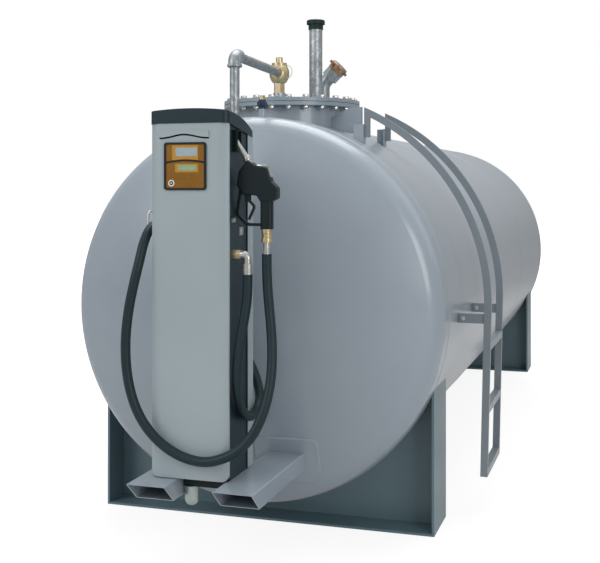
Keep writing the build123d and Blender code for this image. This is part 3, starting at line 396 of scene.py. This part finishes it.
# %% Floor
floor_half_size = 40.0
tank_middle = (0.0, 1.7, 0.0)
along_tank_share = 0.4
floor_mesh = bmesh.new()
bmesh.ops.create_grid(floor_mesh, x_segments=1, y_segments=1, size=floor_half_size)
floor_data = bpy.data.meshes.new("studio_floor")
floor_mesh.to_mesh(floor_data)
floor_mesh.free()
floor = bpy.data.objects.new("studio_floor", floor_data)
bpy.context.collection.objects.link(floor)

floor_finish, tree, shader, place = start_finish("pale_studio_floor", Roughness=0.9)
shader.inputs["Base Color"].default_value = linear("b4b4b4")
rays = add_node(tree, "ShaderNodeLightPath")
seen = add_node(
    tree, "ShaderNodeMath", {"operation": "MAXIMUM"},
    {0: rays.outputs["Is Camera Ray"], 1: rays.outputs["Is Transmission Ray"]},
)
from_tank = add_node(
    tree, "ShaderNodeVectorMath", {"operation": "SUBTRACT", 1: tank_middle}, {0: place}
)
from_tank = add_node(
    tree, "ShaderNodeVectorMath", {"operation": "MULTIPLY", 1: (1.0, along_tank_share, 0.0)},
    {0: from_tank.outputs["Vector"]},
)
from_tank = add_node(
    tree, "ShaderNodeVectorMath", {"operation": "LENGTH"}, {0: from_tank.outputs["Vector"]}
)
fade = add_node(
    tree, "ShaderNodeMapRange",
    {"From Min": 1.0, "From Max": 2.2, "To Min": 0.68, "To Max": 1.0},
    {"Value": from_tank.outputs["Value"]},
)
share = add_node(
    tree, "ShaderNodeMath", {"operation": "MULTIPLY"},
    {0: seen.outputs[0], 1: fade.outputs["Result"]},
)
sheen = add_node(
    tree, "ShaderNodeMapRange",
    {"From Min": 1.4, "From Max": 3.4, "To Min": 0.3, "To Max": 0.0},
    {"Value": from_tank.outputs["Value"]},
)
sheen = add_node(
    tree, "ShaderNodeMath", {"operation": "MULTIPLY"},
    {0: rays.outputs["Is Glossy Ray"], 1: sheen.outputs["Result"]},
)
share = add_node(
    tree, "ShaderNodeMath", {"operation": "MAXIMUM"},
    {0: share.outputs[0], 1: sheen.outputs[0]},
)
glow = add_node(tree, "ShaderNodeEmission", {"Color": (1.0, 1.0, 1.0, 1.0), "Strength": 1.3})
blend = add_node(
    tree, "ShaderNodeMixShader", None,
    {"Fac": share.outputs[0], 1: shader.outputs["BSDF"], 2: glow.outputs["Emission"]},
)
tree.links.new(blend.outputs["Shader"], tree.nodes["Material Output"].inputs["Surface"])
floor_data.materials.append(floor_finish)
print("floor", floor.name)

# %% [markdown]
# ## The sky
# The camera sees a white world. As a source of light the world is bright overhead and dim at the
# horizon, as an overcast sky is.

# %% World
world = bpy.data.worlds.new("overcast_white")
bpy.context.scene.world = world
world.use_nodes = True
tree = world.node_tree
way = add_node(tree, "ShaderNodeTexCoord").outputs["Generated"]
height = add_node(tree, "ShaderNodeSeparateXYZ", None, {"Vector": way}).outputs["Z"]
sky_light = add_node(
    tree, "ShaderNodeMapRange",
    {"From Min": 0.0, "From Max": 0.9, "To Min": 0.30, "To Max": 0.82}, {"Value": height},
)
rays = add_node(tree, "ShaderNodeLightPath")
seen = add_node(
    tree, "ShaderNodeMath", {"operation": "MAXIMUM"},
    {0: rays.outputs["Is Camera Ray"], 1: rays.outputs["Is Transmission Ray"]},
)
strength = add_node(
    tree, "ShaderNodeMix", {"data_type": "FLOAT", "B": 1.0},
    {"Factor": seen.outputs[0], "A": sky_light.outputs["Result"]},
)
background = tree.nodes["Background"]
background.inputs["Color"].default_value = (1.0, 1.0, 1.0, 1.0)
tree.links.new(strength.outputs[0], background.inputs["Strength"])
print("world", world.name)

# %% [markdown]
# ## The lamps
# A wide softbox above strengthens the sky, a second one lights the front from the left, and two
# weaker ones fill in the right side. Large lamps make soft shadows, as cloud does.

# %% Lamps
def softbox(name, place, target, size, power):
    """A square area lamp that looks at a target."""
    lamp = bpy.data.lights.new(name, "AREA")
    lamp.size = size
    lamp.energy = power
    lamp_object = bpy.data.objects.new(name, lamp)
    lamp_object.location = place
    aim = Vector(target) - Vector(place)
    lamp_object.rotation_euler = aim.to_track_quat("-Z", "Y").to_euler()
    bpy.context.collection.objects.link(lamp_object)
    return lamp_object


sky = softbox("sky_softbox", (0.0, 1.5, 6.5), (0.0, 1.5, 0.9), 4.5, 230.0)
front = softbox("front_softbox", (-4.5, -6.0, 4.5), (0.0, 0.0, 0.9), 4.0, 190.0)
right = softbox("right_softbox", (5.5, -5.0, 2.6), (0.4, 0.2, 0.8), 3.0, 130.0)
flank = softbox("flank_softbox", (6.0, 3.0, 4.5), (0.6, 2.0, 1.0), 4.0, 25.0)
bpy.context.scene.view_settings.view_transform = "Standard"
print("lamps", sky.name, front.name, right.name, flank.name)

# %% [markdown]
# ## Building blocks for small steel pieces
# Bolts, rims and beads are all a few simple solids: a hexagon, a disc, a block or a ring. Each
# helper adds one of them to an open bmesh. Most edges are then rounded, because no real edge is
# perfectly sharp and a rounded one catches a line of light. A last helper turns the bmesh into an
# object, smooths it by angle and lets it ride on a body.

# %% Helpers for new pieces
UP = Vector((0, 0, 1))
FRONT = Vector((0, -1, 0))
BACK = Vector((0, 1, 0))


def turned(place, along):
    """A matrix that puts local +Z along a direction at a place."""
    return Matrix.Translation(place) @ Vector(along).to_track_quat("Z", "Y").to_matrix().to_4x4()


def round_edges(mesh, edges, width):
    """Round these edges by a small bevel."""
    bmesh.ops.bevel(
        mesh, geom=list(edges), offset=width, segments=2, profile=0.5, affect="EDGES", material=-1
    )


def add_prism(mesh, place, radius, height, along=UP, sides=6, rounding=0.0):
    """Add a prism that starts at a place and rises along a direction."""
    middle = Vector(place) + Vector(along).normalized() * height / 2
    made = bmesh.ops.create_cone(
        mesh, cap_ends=True, segments=sides, radius1=radius, radius2=radius, depth=height,
        matrix=turned(middle, along),
    )
    if rounding:
        round_edges(mesh, {
            edge for vert in made["verts"] for edge in vert.link_edges
            if sides <= 8 or max(len(face.verts) for face in edge.link_faces) == sides
        }, rounding)


def add_block(mesh, low, high, rounding):
    """Add a block with rounded edges between two corners."""
    low, high = Vector(low), Vector(high)
    size = high - low
    made = bmesh.ops.create_cube(
        mesh, size=1.0, matrix=Matrix.Translation((low + high) / 2) @ Matrix.Diagonal((*size, 1.0))
    )
    round_edges(mesh, {edge for vert in made["verts"] for edge in vert.link_edges}, rounding)


def add_ring(mesh, place, radius, bead, along=UP, steps=96, sides=10):
    """Add a round ring by spinning a small circle about an axis."""
    to_section = Matrix.Translation((radius, 0, 0)) @ Matrix.Rotation(math.radians(90), 4, "X")
    made = bmesh.ops.create_circle(
        mesh, segments=sides, radius=bead, matrix=turned(place, along) @ to_section
    )
    edges = list({edge for vert in made["verts"] for edge in vert.link_edges})
    bmesh.ops.spin(
        mesh, geom=made["verts"] + edges, cent=place, axis=Vector(along).normalized(),
        dvec=(0, 0, 0), angle=math.radians(360), steps=steps, use_merge=True, use_duplicate=False,
    )


def finish_piece(mesh, name, finish, body="tank", smooth_degrees=35.0):
    """Make an object of a bmesh, with its finish, that rides on a body."""
    bmesh.ops.remove_doubles(mesh, verts=mesh.verts, dist=1e-6)
    bmesh.ops.recalc_face_normals(mesh, faces=mesh.faces)
    for face in mesh.faces:
        face.smooth = True
    data = bpy.data.meshes.new(name)
    mesh.to_mesh(data)
    mesh.free()
    data.set_sharp_from_angle(angle=math.radians(smooth_degrees))
    data.materials.append(finish)
    piece = bpy.data.objects.new(name, data)
    bpy.context.collection.objects.link(piece)
    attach(piece, body)
    print(name, len(data.polygons), "faces")
    return piece


def corners(node):
    """The lowest and highest corner of a CAD node as vectors."""
    low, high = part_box(node)
    return Vector(low), Vector(high)


print("helpers ready, the front looks along", tuple(FRONT))

# %% [markdown]
# ## Welds on the shell
# Each joint between the rolled courses and the dished ends is a weld bead, ground low and painted
# over. A ring that is sunk in the plate until only a low cap shows has that flat, wide section, and
# it catches a faint line of light as the real bead does.

# %% Seam welds
weld_bead = 0.012
weld_height = 0.0014
shell_low, shell_high = corners("shell_front_course")
tank_radius = (shell_high.x - shell_low.x) / 2
tank_axis_z = (shell_high.z + shell_low.z) / 2
seam_ys = [corners(f"shell_{name}_course")[0].y for name in ("front", "middle", "rear")]
seam_ys.append(corners("shell_rear_course")[1].y)
mesh = bmesh.new()
for seam_y in seam_ys:
    add_ring(mesh, (0, seam_y, tank_axis_z), tank_radius + weld_height - weld_bead, weld_bead,
             along=BACK, steps=192, sides=24)
finish_piece(mesh, "shell_seam_welds", tank_paint)

# %% [markdown]
# ## Fillet welds round the doubling plates
# A plate is welded to the dished end all round under each tube of the bracket. A hand weld is a row
# of small overlapping ripples, so a small ball is set at every few millimetres of the plate's
# outline. The dished end is curved, so a ray along the tank's axis finds how far back each ripple
# lies.

# %% Ripples along the plates' outlines
plate_width = 0.250
plate_corner = 0.026
corner_steps = 6
ripple_pitch = 0.007
ripple_radius = 0.0075
before_tank_y = -2.0
end_node = frame["nodes"]["front_dished_end"]
plates_low, plates_high = corners("bracket_doublers")


def rounded_outline(left, right, bottom, top):
    """Points at about the ripples' pitch along a rounded oblong, in X and Z."""
    path = []
    for turn, (x, z) in enumerate(((right, top), (left, top), (left, bottom), (right, bottom))):
        middle_x = x - plate_corner if x == right else x + plate_corner
        middle_z = z - plate_corner if z == top else z + plate_corner
        for step in range(corner_steps + 1):
            angle = math.radians(90 * (turn + step / corner_steps))
            path.append((middle_x + plate_corner * math.cos(angle),
                         middle_z + plate_corner * math.sin(angle)))
    points = []
    for (x, z), (next_x, next_z) in zip(path, path[1:] + path[:1]):
        steps = max(1, round(math.hypot(next_x - x, next_z - z) / ripple_pitch))
        points += [(x + (next_x - x) * step / steps, z + (next_z - z) * step / steps)
                   for step in range(steps)]
    return points


mesh = bmesh.new()
for left in (plates_low.x, plates_high.x - plate_width):
    for x, z in rounded_outline(left, left + plate_width, plates_low.z, plates_high.z):
        spot = end_node.ray_cast((x, before_tank_y, z), BACK)[1]
        bmesh.ops.create_uvsphere(
            mesh, u_segments=8, v_segments=6, radius=ripple_radius, matrix=Matrix.Translation(spot)
        )
finish_piece(mesh, "doubler_welds", tank_paint, smooth_degrees=80.0)

# %% [markdown]
# ## Manhole bolts
# The cover is held by a full circle of bolts. Their heads stand on the cover and their nuts and
# thread ends show under the flange, bright zinc against the paint. One loop makes both sides.

# %% Bolts, washers and nuts of the manhole
cover_low, cover_high = corners("manhole_cover")
flange_low = corners("manhole_flange")[0]
manhole_middle = Vector(((cover_low.x + cover_high.x) / 2, (cover_low.y + cover_high.y) / 2, 0))
bolt_count = 24
bolt_edge_distance = 0.024
bolt_circle = (cover_high.x - cover_low.x) / 2 - bolt_edge_distance
washer_radius, washer_height, washer_rounding = 0.0155, 0.003, 0.0006
hexagon_radius, hexagon_rounding = 0.0139, 0.0012
head_height, nut_height = 0.0105, 0.009
thread_radius, thread_length, thread_rounding = 0.0075, 0.004, 0.0008
heads = bmesh.new()
nuts = bmesh.new()
for index in range(bolt_count):
    angle = math.radians(360) * index / bolt_count
    spot = manhole_middle + Vector((math.cos(angle), math.sin(angle), 0)) * bolt_circle
    top = spot + UP * cover_high.z
    add_prism(heads, top, washer_radius, washer_height, sides=24, rounding=washer_rounding)
    add_prism(heads, top + UP * washer_height, hexagon_radius, head_height,
              rounding=hexagon_rounding)
    under = spot + UP * flange_low.z
    add_prism(nuts, under, washer_radius, washer_height, along=-UP, sides=24,
              rounding=washer_rounding)
    add_prism(nuts, under - UP * washer_height, hexagon_radius, nut_height, along=-UP,
              rounding=hexagon_rounding)
    add_prism(nuts, under - UP * (washer_height + nut_height), thread_radius, thread_length,
              along=-UP, sides=16, rounding=thread_rounding)
finish_piece(heads, "manhole_bolt_heads", plated_steel)
finish_piece(nuts, "manhole_nuts", plated_steel)

# %% [markdown]
# ## Pipe fittings
# A malleable elbow has a thick rolled rim at each end. The rims sit where the elbow meets the pipe,
# so their places come from the ends of the pipe nodes.

# %% Rims of the suction elbows
riser_low, riser_high = corners("suction_riser")
riser_x = (riser_low.x + riser_high.x) / 2
riser_y = (riser_low.y + riser_high.y) / 2
pipe_low, pipe_high = corners("suction_pipe")
pipe_z = (pipe_low.z + pipe_high.z) / 2
valve_low, valve_high = corners("suction_valve")
valve_x = (valve_low.x + valve_high.x) / 2
valve_y = valve_high.y - (valve_high.x - valve_low.x) / 2
pipe_way = Vector((valve_x - riser_x, valve_y - riser_y, 0)).normalized()
elbow_leg = 0.046
rim_length, rim_radius, rim_rounding = 0.013, 0.029, 0.003
top_corner = Vector((riser_x, riser_y, pipe_z))
riser_foot = Vector((riser_x, riser_y, riser_low.z))
rims = [
    (top_corner - UP * elbow_leg, UP),
    (top_corner + pipe_way * elbow_leg, -pipe_way),
    (riser_foot, -UP),
]
mesh = bmesh.new()
for place, along in rims:
    add_prism(mesh, place, rim_radius, rim_length, along=along, sides=48, rounding=rim_rounding)
finish_piece(mesh, "suction_elbow_rims", galvanised)

# %% [markdown]
# ## The strap on the suction valve
# A thin white strap hangs in a loop beside the valve. It is a ring whose inner half is hidden in
# the valve's body, so nothing has to be cut.

# %% Strap
strap_aside, strap_rise = 0.028, 0.004
strap_radius, strap_bead = 0.032, 0.0022
mesh = bmesh.new()
add_ring(mesh, (valve_x + strap_aside, valve_y, pipe_z + strap_rise), strap_radius, strap_bead,
         along=BACK, steps=48, sides=8)
finish_piece(mesh, "valve_strap", white_coating)

# %% [markdown]
# ## Finishes of the display
# Behind the acrylic sheet are two liquid-crystal windows in paler frames, a dark arched bar between
# them, a ring where a key is held, and a faint keypad. Each is a thin plate, so one helper makes a
# plate from an outline drawn on the column's front. Layers that stand 0.3 mm over each other can't
# flicker. The glass of a window is a pale grey or green with a slight haze.

# %% Finishes and helpers for the display
lcd_grey = moulded("liquid_crystal_grey", "a3b1b8", "97a5ac", 0.30, 20.0, 0.0001)
lcd_green = moulded("liquid_crystal_green", "94b095", "88a489", 0.30, 20.0, 0.0001)
amber_frame = moulded("printed_amber_frame", "bb8c36", "ad7f2c", 0.35, 20.0, 0.0001)
amber_key = moulded("smoked_amber_keys", "8a5f1d", "7d5417", 0.30, 20.0, 0.0001)
face_y = corners("display_panel")[0].y
layer = 0.0003


def add_plate(mesh, outline, back_y, front_y):
    """Add a plate whose outline is given in X and Z, between two places along Y."""
    ring = [mesh.verts.new((x, back_y, z)) for x, z in outline]
    made = bmesh.ops.extrude_face_region(mesh, geom=[mesh.faces.new(ring)])
    moved = [item for item in made["geom"] if isinstance(item, bmesh.types.BMVert)]
    bmesh.ops.translate(mesh, verts=moved, vec=(0, front_y - back_y, 0))


def display_piece(name, oblongs, layers, finish):
    """Make upright oblong plates that stand so many layers over the display's face."""
    mesh = bmesh.new()
    for left, right, bottom, top in oblongs:
        outline = [(left, bottom), (right, bottom), (right, top), (left, top)]
        add_plate(mesh, outline, face_y, face_y - layers * layer)
    finish_piece(mesh, name, finish)


print("display face at", round(face_y, 4))

# %% [markdown]
# ## Windows and keys of the display
# The frames and the keys lie one layer over the face, and the windows one layer over their frames.
# The keypad is a pattern of equal oblongs, so its rows and columns are counted out by a loop.

# %% Windows, frames and keypad
keypad_left, keypad_bottom = -0.070, 1.418
key_step_x, key_step_z = 0.0205, 0.0155
key_width, key_height = 0.0155, 0.012
keys = []
for column in range(4):
    for row in range(3):
        left, bottom = keypad_left + key_step_x * column, keypad_bottom + key_step_z * row
        keys.append((left, left + key_width, bottom, bottom + key_height))
frame_oblongs = [(-0.086, 0.016, 1.515, 1.569), (-0.074, 0.016, 1.471, 1.502)]
upper_window = (-0.072, 0.0115, 1.529, 1.560)
lower_window = (-0.062, 0.0075, 1.478, 1.496)
display_piece("display_frames", frame_oblongs, 1, amber_frame)
display_piece("display_keypad", keys, 1, amber_key)
display_piece("display_upper_window", [upper_window], 2, lcd_grey)
display_piece("display_lower_window", [lower_window], 2, lcd_green)

# %% [markdown]
# ## The display's bar and key ring
# The bar is an arch, so its upper and lower edges are points on a parabola through its ends and its
# crown. The ring is three discs on top of each other, white, dark and white.

# %% Arched bar and key ring
bar_height = 0.007
bar_points = 16
bar_left, bar_right, bar_end_z, bar_crown = -0.111, 0.044, 1.5055, 0.0085
crown_line = []
for index in range(bar_points + 1):
    part = index / bar_points
    crown_line.append((bar_left + (bar_right - bar_left) * part,
                       bar_end_z + bar_crown * 4 * part * (1 - part)))
upper = [(x, z + bar_height / 2) for x, z in crown_line]
lower = [(x, z - bar_height / 2) for x, z in reversed(crown_line)]
key_place = Vector((-0.089, face_y, 1.432))
ring_radius, ring_hole_radius, ring_pin_radius = 0.012, 0.0075, 0.003
mesh = bmesh.new()
add_plate(mesh, upper + lower, face_y, face_y - 3 * layer)
add_prism(mesh, key_place, ring_hole_radius, 2 * layer, along=FRONT, sides=32)
finish_piece(mesh, "display_bar", black_plastic)
mesh = bmesh.new()
add_prism(mesh, key_place, ring_radius, layer, along=FRONT, sides=32)
add_prism(mesh, key_place, ring_pin_radius, 3 * layer, along=FRONT, sides=24)
finish_piece(mesh, "display_key_ring", white_coating)

# %% [markdown]
# ## Bright metal on the nozzle
# The nozzle has a bright plate along its top, a bright strip down its back and a collar where the
# spout enters. The plate is a rounded block, the strip an extruded outline and the collar a short
# prism along the spout.

# %% Bright pieces of the nozzle
body_low, body_high = corners("nozzle_body")
nozzle_y = (body_low.y + body_high.y) / 2
spout_slope = math.radians(55)
spout_way = Vector((-math.cos(spout_slope), 0, math.sin(spout_slope)))
spout_foot = Vector((0.186, nozzle_y, 1.495))
top_half_width, top_rounding = 0.013, 0.002
strip_half_width = 0.010
collar_start, collar_radius, collar_length, collar_rounding = 0.022, 0.0145, 0.016, 0.0015
mesh = bmesh.new()
add_block(mesh, (0.208, nozzle_y - top_half_width, 1.4885),
          (0.246, nozzle_y + top_half_width, 1.4985), top_rounding)
strip = [(0.2485, 1.486), (0.2610, 1.452), (0.2665, 1.454), (0.2540, 1.488)]
add_plate(mesh, strip, nozzle_y + strip_half_width, nozzle_y - strip_half_width)
add_prism(mesh, spout_foot + spout_way * collar_start, collar_radius, collar_length,
          along=spout_way, sides=32, rounding=collar_rounding)
finish_piece(mesh, "nozzle_bright_pieces", plated_steel)

# %% [markdown]
# ## Grooves and crimps of the couplings
# The couplings are turned with grooves, and the hose ends are crimped. From here a groove shows as
# a line, so thin rings over the CAD solids are enough. Their heights are shares of the solid's own.

# %% Grooved and crimped couplings
coupling_steps = 48
groove_bead, crimp_bead = 0.0016, 0.0012
waist_radius, shoulder_radius = 0.0172, 0.0198
outlet_ring_radius, outlet_ring_bead = 0.0140, 0.0030


def height_in(node, part):
    """A place on the middle line of an upright CAD node, at a share of its height."""
    low, high = corners(node)
    return Vector(((low.x + high.x) / 2, (low.y + high.y) / 2, low.z + part * (high.z - low.z)))


mesh = bmesh.new()
for part in (0.12, 0.30, 0.42, 0.54, 0.66, 0.88):
    radius = shoulder_radius if part < 0.2 or part > 0.8 else waist_radius
    add_ring(mesh, height_in("nozzle_swivel", part), radius, groove_bead, steps=coupling_steps)
add_ring(mesh, height_in("outlet_ferrule", 1.0), outlet_ring_radius, outlet_ring_bead,
         steps=coupling_steps)
finish_piece(mesh, "coupling_rings", brass)
mesh = bmesh.new()
for name in ("outlet_ferrule", "nozzle_hose_tail"):
    low, high = corners(name)
    for part in (0.2, 0.4, 0.6, 0.8):
        add_ring(mesh, height_in(name, part), (high.x - low.x) / 2, crimp_bead,
                 steps=coupling_steps)
finish_piece(mesh, "hose_end_crimps", plated_steel)

# %% [markdown]
# ## The rim of the spout's pocket
# The pocket that takes the spout has a rim on its front side that hides the spout's tip from here.

# %% Pocket rim
rim_inset, rim_reach, rim_thickness, rim_edge = 0.002, 0.012, 0.003, 0.0008
pocket_low, pocket_high = corners("nozzle_pocket")
mesh = bmesh.new()
add_block(mesh, (pocket_high.x - rim_inset, pocket_low.y, pocket_low.z),
          (pocket_high.x + rim_reach, pocket_low.y + rim_thickness, pocket_high.z), rim_edge)
finish_piece(mesh, "pocket_rim", black_plastic)

# %% [markdown]
# ## Plates on the side panel
# Two small bright plates lie on the dark side panel behind the nozzle's guard. Each is given by its
# two corners in Y and Z.

# %% Plates behind the guard
panel_x = 0.1235
side_plate_thickness, side_plate_edge = 0.002, 0.0005
side_plates = [((-0.822, 1.290), (-0.782, 1.305)), ((-0.742, 1.240), (-0.704, 1.270))]
mesh = bmesh.new()
for low, high in side_plates:
    add_block(mesh, (panel_x, *low), (panel_x + side_plate_thickness, *high), side_plate_edge)
finish_piece(mesh, "side_plates", plated_steel)

# %% [markdown]
# ## Bolts of the ladder
# Each bar from the shell to a rail is held to its tab by one bolt, whose zinc head shows as a
# bright dot on the bar's front face.

# %% Ladder bolts
bars_low, bars_high = corners("ladder_standoffs")
bar_z = (bars_low.z + bars_high.z) / 2
bar_thickness = 0.008
ladder_bolt_x = 0.822
disc_radius, disc_height = 0.0100, 0.002
bolt_radius, bolt_height, bolt_rounding = 0.0082, 0.0065, 0.0008
mesh = bmesh.new()
for bar_y in (bars_low.y, bars_high.y - bar_thickness):
    add_prism(mesh, (ladder_bolt_x, bar_y, bar_z), disc_radius, disc_height, along=FRONT, sides=24)
    add_prism(mesh, (ladder_bolt_x, bar_y - disc_height, bar_z), bolt_radius, bolt_height,
              along=FRONT, rounding=bolt_rounding)
finish_piece(mesh, "ladder_bolts", plated_steel)
